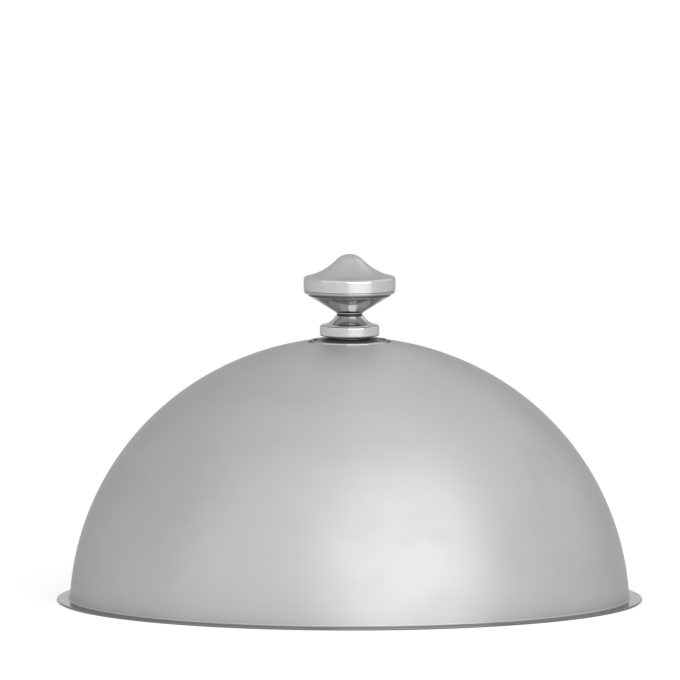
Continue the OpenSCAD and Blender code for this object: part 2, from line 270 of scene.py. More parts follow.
class StageSettings(bpy.types.PropertyGroup):
    """Camera, floor and lamps."""
    camera_distance: FloatProperty(name="Camera distance", description="From the aim point to the camera",
                                   default=15.0, unit="LENGTH")
    camera_elevation: angle("Camera elevation", "Angle of the view above the horizon", 5.4)
    view_width: length("View width", "Width of the picture at the aim point", 348)
    aim: FloatVectorProperty(name="Aim", description="Point at the middle of the picture",
                             default=(-0.0049, 0.0, 0.1339), size=3, unit="LENGTH")
    floor_radius: FloatProperty(name="Floor radius", description="Radius of the plain floor", default=9.0,
                                unit="LENGTH")
    floor_colour: colour("Floor colour", "Pale colour of the floor", (0.55, 0.55, 0.55))
    floor_drop: length("Floor drop", "Gap that keeps the floor's face apart from the hem's", 0.05)
    floor_glow: share("Floor glow", "White added to the floor where it shows as background", 0.62)
    far_glow: share("Far glow", "White added to the floor behind the part, which gets less light", 0.77)
    far_reach: FloatProperty(name="Far reach", description="Distance at which the far glow is full",
                             default=3.2, unit="LENGTH")
    ambient: share("Ambient", "Strength of the even light from all round", 0.45)
    key: PointerProperty(type=KeyLamp)
    fill: PointerProperty(type=FillLamp)
    top: PointerProperty(type=TopLamp)
    rim: PointerProperty(type=RimLamp)


class FoodCoverSettings(bpy.types.PropertyGroup):
    """Everything a user may change, in one place."""
    dome: PointerProperty(type=DomeSizes)
    knob: PointerProperty(type=KnobSizes)
    fixing: PointerProperty(type=FixingSizes)
    finish: PointerProperty(type=Finishes)
    stage: PointerProperty(type=StageSettings)


# Outlines of turned pieces, as (radius, height) points

def arc(centre, radius, start, stop, step=ARC_STEP):
    """Points along an arc, from one angle to another."""
    steps = max(2, math.ceil(abs(stop - start) / step))
    turns = [start + (stop - start) * i / steps for i in range(steps + 1)]
    return [Vector((centre[0] + radius * math.cos(a), centre[1] + radius * math.sin(a))) for a in turns]


def hollow(start, stop, depth):
    """Points of a hollow between two points, depth deep at its middle."""
    start, stop = Vector(start), Vector(stop)
    half = (stop - start).length / 2
    radius = (half ** 2 + depth ** 2) / (2 * depth)
    outward = Vector((stop.y - start.y, start.x - stop.x)).normalized()
    centre = (start + stop) / 2 + outward * (radius - depth)
    middle = math.atan2(-outward.y, -outward.x)
    spread = math.asin(half / radius)
    return arc(centre, radius, middle + spread, middle - spread)


def fillet(corner, before, after, radius):
    """Points of the fillet at a corner, no longer than half of either side."""
    side_a, side_b = before - corner, after - corner
    limit = min(side_a.length, side_b.length) / 2
    side_a.normalize()
    side_b.normalize()
    half = side_a.angle(side_b) / 2
    tangent = min(radius / math.tan(half), limit)
    radius = tangent * math.tan(half)
    centre = corner + (side_a + side_b).normalized() * radius / math.sin(half)
    out = corner + side_a * tangent - centre
    start = math.atan2(out.y, out.x)
    turn = (corner - before).cross(after - corner)
    sweep = math.copysign(HALF_TURN - 2 * half, turn)
    return arc(centre, radius, start, start + sweep)


def ends(stroke):
    """First and last point of a stroke, which is a corner or the points of an arc."""
    if isinstance(stroke, list):
        return stroke[0], stroke[-1]
    corner = Vector(stroke[:2])
    return corner, corner


def outline(strokes, closed=True):
    """Joins corners (radius, height, fillet) and arcs into one outline of points."""
    count = len(strokes)
    runs = []
    for i, stroke in enumerate(strokes):
        at_end = not closed and i in (0, count - 1)
        if isinstance(stroke, list):
            runs.append(stroke)
        elif at_end:
            runs.append([Vector(stroke[:2])])
        else:
            before = ends(strokes[i - 1])[1]
            after = ends(strokes[(i + 1) % count])[0]
            radius = stroke[2] if len(stroke) > 2 else BROKEN_EDGE
            runs.append(fillet(Vector(stroke[:2]), before, after, radius))
    points = []
    for i, run in enumerate(runs):
        points.extend(run)
        if i == count - 1 and not closed:
            break
        start, stop = run[-1], runs[(i + 1) % count][0]
        gap = (stop - start).length
        if gap > 4 * HOLD:
            points.append(start.lerp(stop, HOLD / gap))
            points.append(stop.lerp(start, HOLD / gap))
    if closed:
        points.append(points[0])
    kept = points[:1]
    for point in points[1:]:
        if (point - kept[-1]).length > SAME_POINT:
            kept.append(point)
    return kept


def dome_outline(sizes, bore):
    """The drawn sheet, from the hole in the seat over the outside, round the hem and back inside."""
    flange_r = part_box("dome_shell")[1].x
    rosette_low, rosette_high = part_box("rosette")
    sheet = sizes.sheet
    shoulder_r = flange_r - sizes.flange_width - sizes.shoulder_inset
    shoulder = (sizes.shoulder_inset, -sizes.equator_drop)
    crown_r = shoulder_r + sizes.shoulder_inset / math.sin(sizes.crown_angle)
    crown = (0.0, -sizes.equator_drop - sizes.shoulder_inset / math.tan(sizes.crown_angle))
    meet = QUARTER - sizes.crown_angle
    foot_rise = 2 * sheet + sizes.flange_fillet - shoulder[1]
    foot_run = math.sqrt((shoulder_r + sizes.flange_fillet) ** 2 - foot_rise ** 2)
    foot = (shoulder[0] + foot_run, shoulder[1] + foot_rise)
    foot_turn = math.atan2(foot_rise, foot_run)
    seat_r = rosette_high.x + sizes.seat_gap
    seat_z = rosette_low.z
    lip_x = seat_r + sizes.seat_lip
    lip = (lip_x, crown[1] + math.sqrt((crown_r - sizes.seat_lip) ** 2 - lip_x ** 2))
    lip_turn = math.atan2(lip[1] - crown[1], lip[0])
    corner = (seat_r - sizes.seat_corner, lip[1] - sizes.seat_wall)
    hem_r = flange_r - sizes.hem_width
    slit_z = sheet - sizes.hem_slit

    def wall(depth):
        """The seat, crown, shoulder and foot at a depth inside the sheet."""
        return [
            arc(corner, sizes.seat_corner + depth, -QUARTER, 0.0),
            arc(lip, sizes.seat_lip - depth, HALF_TURN, lip_turn),
            arc(crown, crown_r - depth, lip_turn, meet, DOME_ARC_STEP),
            arc(shoulder, shoulder_r - depth, meet, foot_turn, DOME_ARC_STEP),
            arc(foot, sizes.flange_fillet + depth, HALF_TURN + foot_turn, HALF_TURN + QUARTER),
        ]

    outside, inside = wall(0.0), wall(sheet)
    return outline(
        [(bore, seat_z)] + outside
        + [arc((flange_r - sheet, sheet), sheet, QUARTER, -QUARTER)]
        + [(hem_r, 0.0), (hem_r, slit_z), (flange_r - sheet, slit_z), (flange_r - sheet, sheet)]
        + [run[::-1] for run in inside[::-1]]
        + [(bore, seat_z - sheet)]
    )


def rosette_outline(sizes):
    """A dished plate with a round bead on its edge and a pocket for the gasket beneath."""
    low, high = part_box("rosette")
    gasket_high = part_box("crown_gasket")[1]
    foot_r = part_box("foot")[1].x
    pocket_r = gasket_high.x + sizes.pocket_gap
    bead_top = low.z + 2 * sizes.bead
    bead_in = high.x - 2 * sizes.bead
    return outline([
        (sizes.bore, gasket_high.z),
        (pocket_r, gasket_high.z),
        (pocket_r, low.z),
        (high.x, low.z, sizes.bead),
        (high.x, bead_top, sizes.bead),
        (bead_in, bead_top, sizes.bead),
        (bead_in, bead_top - sizes.bead_groove),
        (foot_r, high.z),
        (sizes.bore, high.z),
    ])


def waisted_outline(node, edge, depth, sizes):
    """A piece with a straight foot and a hollow side that draws in to the neck."""
    low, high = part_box(node)
    side = hollow((high.x, low.z + edge), (sizes.neck, high.z), depth)
    return outline([(sizes.bore, low.z), (high.x, low.z), side, (sizes.bore, high.z)])


def ring_outline(node, inner, edge):
    """A flat ring with rounded outer edges."""
    low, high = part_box(node)
    return outline([(inner, low.z), (high.x, low.z, edge), (high.x, high.z, edge), (inner, high.z)])


def bowl_outline(sizes):
    """The knob's conical bowl, with its heel, dark seam and rolled rim."""
    low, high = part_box("knob_bowl")
    lip_z = low.z + sizes.lip_height
    seam_z = lip_z + sizes.seam_height
    seam_r = sizes.lip - sizes.seam_depth
    mouth_r = seam_r - sizes.bowl_wall
    floor_z = low.z + sizes.bowl_floor
    heel_z = low.z + sizes.heel_height
    slope = (lip_z - heel_z) / (sizes.lip - sizes.neck)
    wall_rise = sizes.bowl_wall * math.hypot(1.0, slope)
    floor_r = sizes.neck + (floor_z - heel_z - wall_rise) / slope
    mouth_z = lip_z + wall_rise - (sizes.lip - mouth_r) * slope
    return outline([
        (sizes.bowl_hole, low.z),
        (sizes.neck, low.z),
        (sizes.neck, heel_z, sizes.heel),
        (sizes.lip, lip_z),
        (seam_r, lip_z),
        (seam_r, seam_z),
        (high.x, seam_z, sizes.rim_bead),
        (high.x, high.z, sizes.rim_bead_edge),
        (mouth_r, high.z),
        (mouth_r, mouth_z),
        (floor_r, floor_z),
        (sizes.bowl_hole, floor_z),
    ])


def crown_outline(sizes):
    """The knob's pressed crown, from the inside of its tip round the rim band to its apex."""
    rim_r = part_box("knob_crown")[1].x
    rim_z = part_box("knob_bowl")[1].z
    wall = sizes.crown_wall
    shoulder = (rim_r - sizes.crown_shoulder, rim_z + sizes.rim_band)
    flare_reach = sizes.crown_tip + sizes.crown_flare
    flare_x = flare_reach * math.sin(sizes.crown_slope)
    shoulder_reach = sizes.crown_flare + sizes.crown_shoulder
    flare_turn = math.asin((flare_x - shoulder[0]) / shoulder_reach)
    flare = (flare_x, shoulder[1] + shoulder_reach * math.cos(flare_turn))
    tip = (0.0, flare[1] - flare_reach * math.cos(sizes.crown_slope))
    spigot_r = sizes.lip - sizes.seam_depth - sizes.bowl_wall - sizes.spigot_gap

    def side(depth):
        """Tip, flare and shoulder at a depth inside the sheet, from the axis outwards."""
        return [
            arc(tip, sizes.crown_tip - depth, QUARTER, QUARTER - sizes.crown_slope, CROWN_ARC_STEP),
            arc(flare, sizes.crown_flare + depth, 3 * QUARTER - sizes.crown_slope,
                3 * QUARTER - flare_turn, CROWN_ARC_STEP),
            arc(shoulder, sizes.crown_shoulder - depth, QUARTER - flare_turn, 0.0),
        ]

    return outline(
        side(wall)
        + [
            (rim_r - wall, rim_z + wall),
            (spigot_r - wall, rim_z + wall),
            (spigot_r - wall, rim_z - sizes.spigot),
            (spigot_r, rim_z - sizes.spigot),
            (spigot_r, rim_z),
            (rim_r, rim_z, sizes.rim_edge),
        ]
        + [run[::-1] for run in side(0.0)[::-1]],
        closed=False,
    )


def screw_outline(sizes):
    """Pan head, shank and chamfered end of the fixing screw, with close points along the thread."""
    low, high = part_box("fixing_screw")
    seat_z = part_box("lock_washer")[0].z
    thread_z = seat_z + sizes.plain_shank
    thread_end = high.z - sizes.end_chamfer
    rows = math.ceil((thread_end - thread_z) / sizes.pitch * THREAD_ROWS_PER_TURN)
    shank = [Vector((sizes.screw, thread_z + (thread_end - thread_z) * i / rows)) for i in range(rows + 1)]
    return outline(
        [
            (0.0, low.z),
            (high.x, low.z, sizes.head_edge),
            (high.x, seat_z),
            (sizes.screw, seat_z),
            shank,
            (sizes.screw - sizes.end_chamfer, high.z),
            (0.0, high.z),
        ],
        closed=False,
    ), thread_z, thread_end


# Nodes

def feed(tree, node, inputs):
    """Links a node's inputs to sockets, or sets them to plain values."""
    for name, value in inputs.items():
        if isinstance(value, bpy.types.NodeSocket):
            tree.links.new(value, node.inputs[name])
        else:
            node.inputs[name].default_value = value


def add(tree, kind, inputs=None, **settings):
    """A new node with its settings and inputs."""
    node = tree.nodes.new(kind)
    for name, value in settings.items():
        setattr(node, name, value)
    feed(tree, node, inputs or {})
    return node


def calc(tree, operation, *values):
    """A math node's result."""
    return add(tree, "ShaderNodeMath", dict(enumerate(values)), operation=operation).outputs[0]


def ramp(tree, value, start, stop, low=0.0, high=1.0, shape="SMOOTHSTEP"):
    """A value that runs from low at start to high at stop."""
    inputs = {"Value": value, "From Min": start, "From Max": stop, "To Min": low, "To Max": high}
    return add(tree, "ShaderNodeMapRange", inputs, interpolation_type=shape).outputs["Result"]


def noise(tree, place, scale, detail, roughness=0.5):
    """Irregular values from 0 to 1."""
    inputs = {"Vector": place, "Scale": scale, "Detail": detail, "Roughness": roughness}
    return add(tree, "ShaderNodeTexNoise", inputs).outputs["Fac"]


def joined(tree, x, y, z):
    """Three values as one vector."""
    return add(tree, "ShaderNodeCombineXYZ", {"X": x, "Y": y, "Z": z}).outputs["Vector"]


def parted(tree, vector):
    """The three values of a vector."""
    return add(tree, "ShaderNodeSeparateXYZ", {"Vector": vector}).outputs[:]


# Geometry Nodes trees

def shape_tree(name, **sockets):
    """A new tree with a geometry and named inputs, and the sockets that bring them in."""
    tree = bpy.data.node_groups.new(name, "GeometryNodeTree")
    tree.interface.new_socket("Geometry", in_out="INPUT", socket_type="NodeSocketGeometry")
    for label, kind in sockets.items():
        tree.interface.new_socket(label, in_out="INPUT", socket_type=f"NodeSocket{kind}")
    tree.interface.new_socket("Geometry", in_out="OUTPUT", socket_type="NodeSocketGeometry")
    return tree, add(tree, "NodeGroupInput").outputs


def close_tree(tree, geometry, material):
    """Ends a tree in smooth, realized geometry with its material."""
    smooth = add(tree, "GeometryNodeSetShadeSmooth", {"Geometry": geometry})
    realize = add(tree, "GeometryNodeRealizeInstances", {"Geometry": smooth.outputs["Geometry"]})
    paint = add(tree, "GeometryNodeSetMaterial",
                {"Geometry": realize.outputs["Geometry"], "Material": material})
    add(tree, "NodeGroupOutput", {"Geometry": paint.outputs["Geometry"]})


def turning_tree():
    """Turns a line of points about Z, and cuts a thread where the points ask for one."""
    found = bpy.data.node_groups.get("turning")
    if found:
        return found
    tree, given = shape_tree("turning", Sides="Int", Pitch="Float", Depth="Float", Material="Material")
    line, sides = given["Geometry"], given["Sides"]
    size = add(tree, "GeometryNodeAttributeDomainSize", {"Geometry": line}, component="MESH")
    count = size.outputs["Point Count"]
    grid = add(tree, "GeometryNodeMeshGrid",
               {"Vertices X": calc(tree, "ADD", sides, 1.0), "Vertices Y": count})
    index = add(tree, "GeometryNodeInputIndex").outputs["Index"]
    row = calc(tree, "FLOORED_MODULO", index, count)
    turn = calc(tree, "DIVIDE", calc(tree, "FLOOR", calc(tree, "DIVIDE", index, count)), sides)

    def sampled(value, kind):
        """A value of the line's point that this row belongs to."""
        inputs = {"Geometry": line, "Value": value, "Index": row}
        return add(tree, "GeometryNodeSampleIndex", inputs, data_type=kind, domain="POINT").outputs["Value"]

    position = add(tree, "GeometryNodeInputPosition").outputs["Position"]
    x, _, z = parted(tree, sampled(position, "FLOAT_VECTOR"))
    named = add(tree, "GeometryNodeInputNamedAttribute", {"Name": "thread"}, data_type="FLOAT")
    threaded = sampled(named.outputs["Attribute"], "FLOAT")
    phase = calc(tree, "FRACT", calc(tree, "SUBTRACT", calc(tree, "DIVIDE", z, given["Pitch"]), turn))
    saw = calc(tree, "ABSOLUTE", calc(tree, "MULTIPLY_ADD", phase, 2.0, -1.0))
    flank = ramp(tree, saw, THREAD_ROOT, THREAD_CREST, low=1.0, high=0.0, shape="LINEAR")
    cut = calc(tree, "MULTIPLY", flank, calc(tree, "MULTIPLY", given["Depth"], threaded))
    radius = calc(tree, "SUBTRACT", x, cut)
    bearing = calc(tree, "MULTIPLY", turn, math.tau)
    point = joined(tree, calc(tree, "MULTIPLY", radius, calc(tree, "COSINE", bearing)),
                   calc(tree, "MULTIPLY", radius, calc(tree, "SINE", bearing)), z)
    move = add(tree, "GeometryNodeSetPosition", {"Geometry": grid.outputs["Mesh"], "Position": point})
    merge = add(tree, "GeometryNodeMergeByDistance",
                {"Geometry": move.outputs["Geometry"], "Distance": 10 * SAME_POINT})
    close_tree(tree, merge.outputs["Geometry"], given["Material"])
    return tree


def spring_ring_tree():
    """Winds a rounded bar once round Z, with a step between its ends."""
    tree, given = shape_tree("spring_ring", Radius="Float", Width="Float", Height="Float", Step="Float",
                             Turns="Float", Edge="Float", Points="Int", Base="Vector", Bearing="Vector",
                             Material="Material")
    path = add(tree, "GeometryNodeCurveSpiral", {
        "Resolution": given["Points"],
        "Rotations": given["Turns"],
        "Start Radius": given["Radius"],
        "End Radius": given["Radius"],
        "Height": given["Step"],
    })
    upright = add(tree, "GeometryNodeSetCurveNormal", {"Curve": path.outputs["Curve"]}, mode="Z_UP")
    bar = add(tree, "GeometryNodeCurvePrimitiveQuadrilateral",
              {"Width": given["Width"], "Height": given["Height"]})
    edges = {"Curve": bar.outputs["Curve"], "Count": BAR_EDGE_POINTS, "Radius": given["Edge"]}
    round_bar = add(tree, "GeometryNodeFilletCurve", edges, mode="POLY")
    sweep = add(tree, "GeometryNodeCurveToMesh", {
        "Curve": upright.outputs["Curve"],
        "Profile Curve": round_bar.outputs["Curve"],
        "Fill Caps": True,
    })
    place = add(tree, "GeometryNodeTransform", {
        "Geometry": sweep.outputs["Mesh"],
        "Translation": given["Base"],
        "Rotation": given["Bearing"],
    })
    close_tree(tree, place.outputs["Geometry"], given["Material"])
    return tree


# Pieces

def put(name, data):
    """A new object in the scene."""
    made = bpy.data.objects.new(name, data)
    bpy.context.scene.collection.objects.link(made)
    return made


def settle(piece):
    """Replaces a piece's mesh by its modifiers' result, with its faces outwards and its edges crisp."""
    rough = piece.data
    graph = bpy.context.evaluated_depsgraph_get()
    piece.data = bpy.data.meshes.new_from_object(piece.evaluated_get(graph))
    piece.modifiers.clear()
    bpy.data.meshes.remove(rough)
    solid = bmesh.new()
    solid.from_mesh(piece.data)
    bmesh.ops.recalc_face_normals(solid, faces=solid.faces)
    solid.to_mesh(piece.data)
    solid.free()
    piece.data.name = piece.name
    piece.data.set_sharp_from_angle(angle=SHARP_ANGLE)
    if not piece.data.polygons:
        raise RuntimeError(f"{piece.name} came out empty")
    return piece


def grown(name, mesh, tree, **values):
    """A piece made from a mesh by a Geometry Nodes tree, as a plain mesh."""
    piece = put(name, mesh)
    modifier = piece.modifiers.new("shape", "NODES")
    modifier.node_group = tree
    for item in tree.interface.items_tree:
        if item.in_out == "INPUT" and item.name in values:
            modifier[item.identifier] = values[item.name]
    return settle(piece)


def turned(name, points, sides, material, thread=None):
    """A piece turned about Z from its outline. thread is (pitch, depth, start, end)."""
    pitch, depth, start, end = thread or (MM, 0.0, 0.0, 0.0)
    line = bpy.data.meshes.new(name)
    line.from_pydata([(p.x, 0.0, p.y) for p in points], [(i, i + 1) for i in range(len(points) - 1)], [])
    if thread:
        outer = max(p.x for p in points if start < p.y < end)
        mask = line.attributes.new("thread", "FLOAT", "POINT")
        for spot, p in zip(mask.data, points):
            spot.value = float(start < p.y < end and abs(p.x - outer) < SAME_POINT)
    return grown(name, line, turning_tree(), Sides=sides, Pitch=pitch, Depth=depth, Material=material)


def seat(piece, body, node):
    """Lets a finished piece ride on its body in place of its frame node."""
    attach(piece, body)
    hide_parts(node)


# Finishes

def own_place(tree):
    """Coordinates in the piece's own space."""
    return add(tree, "ShaderNodeTexCoord").outputs["Object"]


def shader_group(name, inputs, outputs):
    """A new shader node group with float sockets, the sockets that bring in its inputs, and its end."""
    group = bpy.data.node_groups.new(name, "ShaderNodeTree")
    for label, value in inputs.items():
        socket = group.interface.new_socket(label, in_out="INPUT", socket_type="NodeSocketFloat")
        socket.default_value = value
    for label in outputs:
        group.interface.new_socket(label, in_out="OUTPUT", socket_type="NodeSocketFloat")
    return group, add(group, "NodeGroupInput").outputs, add(group, "NodeGroupOutput")


def spun_lines():
    """Fine lines round the axis, as left by spinning, turning or buffing on a lathe."""
    found = bpy.data.node_groups.get("spun_lines")
    if found:
        return found
    group, given, end = shader_group("spun_lines", {"Lines per metre": 2000.0, "Drift": 6.0},
                                     ["Lines", "Bands", "Radius", "Height"])
    x, y, z = parted(group, own_place(group))
    radius = calc(group, "SQRT", calc(group, "MULTIPLY_ADD", x, x, calc(group, "MULTIPLY", y, y)))
    drift = calc(group, "MULTIPLY", calc(group, "MULTIPLY_ADD", y, DRIFT_SLANT, x), given["Drift"])

    def turned_noise(scale, detail):
        """Noise that changes quickly along the section and slowly round the axis."""
        rate = calc(group, "MULTIPLY", given["Lines per metre"], scale)
        spot = joined(group, calc(group, "MULTIPLY", radius, rate), calc(group, "MULTIPLY", z, rate), drift)
        return noise(group, spot, 1.0, detail)

    feed(group, end, {
        "Lines": turned_noise(scale=1.0, detail=3.0),
        "Bands": turned_noise(scale=0.06, detail=1.0),
        "Radius": radius,
        "Height": z,
    })
    return group


def handling_marks():
    """Soft smudges and hairline scratches from use and wiping."""
    found = bpy.data.node_groups.get("handling_marks")
    if found:
        return found
    group, given, end = shader_group("handling_marks", {"Patches per metre": 18.0, "Hairs per metre": 160.0},
                                     ["Smudge", "Hairs"])
    place = own_place(group)
    patches = noise(group, place, given["Patches per metre"], detail=4.0, roughness=0.55)
    lean = add(group, "ShaderNodeMapping", {"Vector": place, "Rotation": HAIR_LEAN, "Scale": HAIR_STRETCH})
    hairs = noise(group, lean.outputs["Vector"], given["Hairs per metre"], detail=2.0)
    feed(group, end, {
        "Smudge": ramp(group, patches, *SMUDGE_RANGE),
        "Hairs": ramp(group, hairs, *HAIR_RANGE),
    })
    return group


def blank_material(name):
    """A new node material, its tree and its shader."""
    material = bpy.data.materials.new(name)
    material.use_nodes = True
    tree = material.node_tree
    return material, tree, tree.nodes["Principled BSDF"]


def shaded(tree, base, factor, dark):
    """The base colour, darkened towards dark times itself where factor is high."""
    inputs = {"Factor": factor, "A": (*base, 1.0), "B": (*(c * dark for c in base), 1.0)}
    return add(tree, "ShaderNodeMix", inputs, data_type="RGBA").outputs["Result"]


def raised(tree, height, distance):
    """The normal of a surface that stands distance high where height is 1."""
    inputs = {"Height": height, "Strength": 1.0, "Distance": distance}
    return add(tree, "ShaderNodeBump", inputs).outputs["Normal"]


def steel(name, base, roughness, edge_tint, marks, zones=()):
    """Steel with lathe lines and handling marks in its roughness, colour and bump."""
    found = bpy.data.materials.get(name)
    if found:
        return found
    material, tree, shader = blank_material(name)
    rate = {"Lines per metre": marks.lines_per_metre}
    lathe = add(tree, "ShaderNodeGroup", rate, node_tree=spun_lines()).outputs
    wear = add(tree, "ShaderNodeGroup", node_tree=handling_marks()).outputs
    rough = calc(tree, "MULTIPLY_ADD", lathe["Lines"], marks.line_roughness,
                 roughness - marks.line_roughness / 2)
    for mark in ("Smudge", "Hairs"):
        rough = calc(tree, "MULTIPLY_ADD", wear[mark], marks.smudge_roughness, rough)
    marks_and_painted_shade = calc(tree, "ADD", calc(tree, "MULTIPLY", lathe["Bands"], BAND_SHADE),
                calc(tree, "MULTIPLY", wear["Smudge"], SMUDGE_SHADE))
    height = lathe["Lines"]
    for zone in zones:
        mask = ramp(tree, lathe[zone.measure], zone.fades_in, zone.full)
        rough = calc(tree, "MULTIPLY_ADD", mask, zone.roughness - roughness, rough)
        # A zone's painted shade darkens the colour
        marks_and_painted_shade = calc(tree, "MULTIPLY_ADD", mask, zone.shade, marks_and_painted_shade)
        if zone.roughness < roughness:
            height = calc(tree, "MULTIPLY", height, calc(tree, "MULTIPLY_ADD", mask, -BUFFED_AWAY, 1.0))
    feed(tree, shader, {
        "Metallic": 1.0,
        "Specular Tint": (edge_tint, edge_tint, edge_tint, 1.0),
        "Base Color": shaded(tree, base, marks_and_painted_shade, dark=0.0),
        "Roughness": rough,
        "Normal": raised(tree, height, marks.line_height),
    })
    return material


def grained(name, base, roughness, grain_per_metre, grain_height, dark):
    """A matt material with a fine irregular grain."""
    material, tree, shader = blank_material(name)
    grain = noise(tree, own_place(tree), grain_per_metre, detail=4.0)
    feed(tree, shader, {
        "Base Color": shaded(tree, base, grain, dark),
        "Roughness": calc(tree, "MULTIPLY_ADD", grain, GRAIN_ROUGHNESS, roughness - GRAIN_ROUGHNESS / 2),
        "Normal": raised(tree, grain, grain_height),
    })
    return material


def dome_satin(finish, sizes):
    """Satin dome, brushed round its axis, with a buffed flange that is darker on its rolled edge."""
    edge_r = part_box("dome_shell")[1].x
    flange_r = edge_r - sizes.flange_width
    rolled_r = edge_r - sizes.sheet
    zones = (
        # Painted shade darkens the flange in place of the wall's reflection, and the rolled edge over its
        # floor reflection
        Zone("Radius", flange_r, flange_r + FADE, finish.flange_roughness, finish.flange_painted_shade),
        Zone("Radius", rolled_r, rolled_r + sizes.sheet / 2, finish.dome_roughness,
             finish.rolled_edge_painted_shade),
    )
    material = steel("dome_satin", finish.dome, finish.dome_roughness, finish.edge_tint, DOME_MARKS, zones)
    shader = material.node_tree.nodes["Principled BSDF"]
    shader.inputs["Anisotropic"].default_value = finish.dome_brushing
    shader.inputs["Anisotropic Rotation"].default_value = ACROSS_LINES
    return material


def knob_turned(finish, name="knob_turned", zones=()):
    """Bright steel with turning lines."""
    return steel(name, finish.knob, finish.knob_roughness, finish.edge_tint, KNOB_MARKS, zones)


def bowl_turned(finish, sizes):
    """The same steel, with dark polish left in the seam under the rolled rim and a little on the rim."""
    lip_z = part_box("knob_bowl")[0].z + sizes.lip_height
    seam_z = lip_z + sizes.seam_height
    rim_painted_shade_change = finish.rolled_rim_painted_shade - finish.seam_painted_shade
    return knob_turned(finish, "bowl_turned", (
        # Painted shade: dark in the seam as if in shadow, less on the rim above for the dark dome it
        # reflects
        Zone("Height", lip_z, lip_z + HOLD, finish.knob_roughness, finish.seam_painted_shade),
        Zone("Height", seam_z - HOLD, seam_z, finish.knob_roughness, rim_painted_shade_change),
    ))


def crown_satin(finish, shoulder_z):
    """Satin crown, with its rim band polished below shoulder_z."""
    band = Zone("Height", shoulder_z + FADE / 2, shoulder_z, finish.knob_roughness)
    return steel("crown_satin", finish.knob, finish.crown_roughness, finish.edge_tint, CROWN_MARKS, (band,))


def mirror_steel(finish, ring_r):
    """Mirror polish from ring_r outwards, dark where it is seen along its surface, and a satin middle."""
    ring = Zone("Radius", ring_r, ring_r + FADE, finish.polished_roughness)
    return steel("mirror_steel", finish.polished, finish.middle_roughness, finish.mirror_tint, MIRROR_MARKS,
                 (ring,))


def plain_steel(finish):
    """Plain bright steel of bought fasteners."""
    return steel("plain_steel", finish.fastener, finish.fastener_roughness, finish.edge_tint, FASTENER_MARKS)


def black_fibre(finish):
    """Matt pressed fibre with a coarse grain."""
    return grained("black_fibre", finish.fibre, roughness=0.62, grain_per_metre=2600.0,
                   grain_height=0.03 * MM, dark=0.6)


def pale_silicone(finish):
    """Smooth moulded silicone."""
    return grained("pale_silicone", finish.silicone, roughness=0.5, grain_per_metre=1800.0,
                   grain_height=0.01 * MM, dark=0.93)


# Operators

class FOODCOVER_OT_dome(bpy.types.Operator):
    """Build the drawn dome with its seat, flange and hem"""
    bl_idname = "foodcover.dome"
    bl_label = "Dome"

    def execute(self, context):
        settings = context.scene.food_cover
        points = dome_outline(settings.dome, settings.knob.bore)
        satin = dome_satin(settings.finish, settings.dome)
        dome = turned("drawn_dome", points, settings.dome.sides, satin)
        seat(dome, "cover", "dome_shell")
        return {"FINISHED"}


class FOODCOVER_OT_knob_base(bpy.types.Operator):
    """Build the rosette, foot, collar and pedestal that stay on the dome"""
    bl_idname = "foodcover.knob_base"
    bl_label = "Knob base"

    def execute(self, context):
        settings = context.scene.food_cover
        sizes, finish = settings.knob, settings.finish
        mirror, lathe = mirror_steel(finish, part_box("collar")[1].x), knob_turned(finish)
        foot = waisted_outline("foot", sizes.foot_edge, sizes.foot_hollow, sizes)
        pedestal = waisted_outline("pedestal", sizes.pedestal_edge, sizes.pedestal_hollow, sizes)
        collar = ring_outline("collar", sizes.bore, sizes.collar_edge)
        rows = (
            ("beaded_rosette", rosette_outline(sizes), mirror, "rosette", "polished_steel"),
            ("waisted_foot", foot, mirror, "foot", "polished_steel"),
            ("collar_ring", collar, lathe, "collar", "knob_steel"),
            ("flared_pedestal", pedestal, lathe, "pedestal", "knob_steel"),
        )
        for name, points, material, node, slot in rows:
            seat(turned(name, points, sizes.sides, material), "cover", node)
        return {"FINISHED"}


class FOODCOVER_OT_knob_head(bpy.types.Operator):
    """Build the bowl and crown of the knob's head"""
    bl_idname = "foodcover.knob_head"
    bl_label = "Knob head"

    def execute(self, context):
        settings = context.scene.food_cover
        sizes, finish = settings.knob, settings.finish
        bowl = turned("knob_bowl_shell", bowl_outline(sizes), sizes.sides, bowl_turned(finish, sizes))
        seat(bowl, "knob_head", "knob_bowl")
        shoulder_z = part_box("knob_bowl")[1].z + sizes.rim_band + sizes.crown_shoulder / 2
        satin = crown_satin(finish, shoulder_z)
        crown = turned("knob_crown_shell", crown_outline(sizes), sizes.sides, satin)
        seat(crown, "knob_head", "knob_crown")
        return {"FINISHED"}


class FOODCOVER_OT_soft_washers(bpy.types.Operator):
    """Build the fibre friction washer and the silicone gasket"""
    bl_idname = "foodcover.soft_washers"
    bl_label = "Soft washers"

    def execute(self, context):
        settings = context.scene.food_cover
        bore, edge, sides = settings.knob.bore, settings.fixing.soft_edge, settings.fixing.sides
        rows = (
            ("fibre_washer", black_fibre(settings.finish), "friction_washer", "neck_washer", "neck_fibre"),
            ("silicone_gasket", pale_silicone(settings.finish), "cover", "crown_gasket", "gasket_silicone"),
        )
        for name, material, body, node, slot in rows:
            seat(turned(name, ring_outline(node, bore, edge), sides, material), body, node)
        return {"FINISHED"}


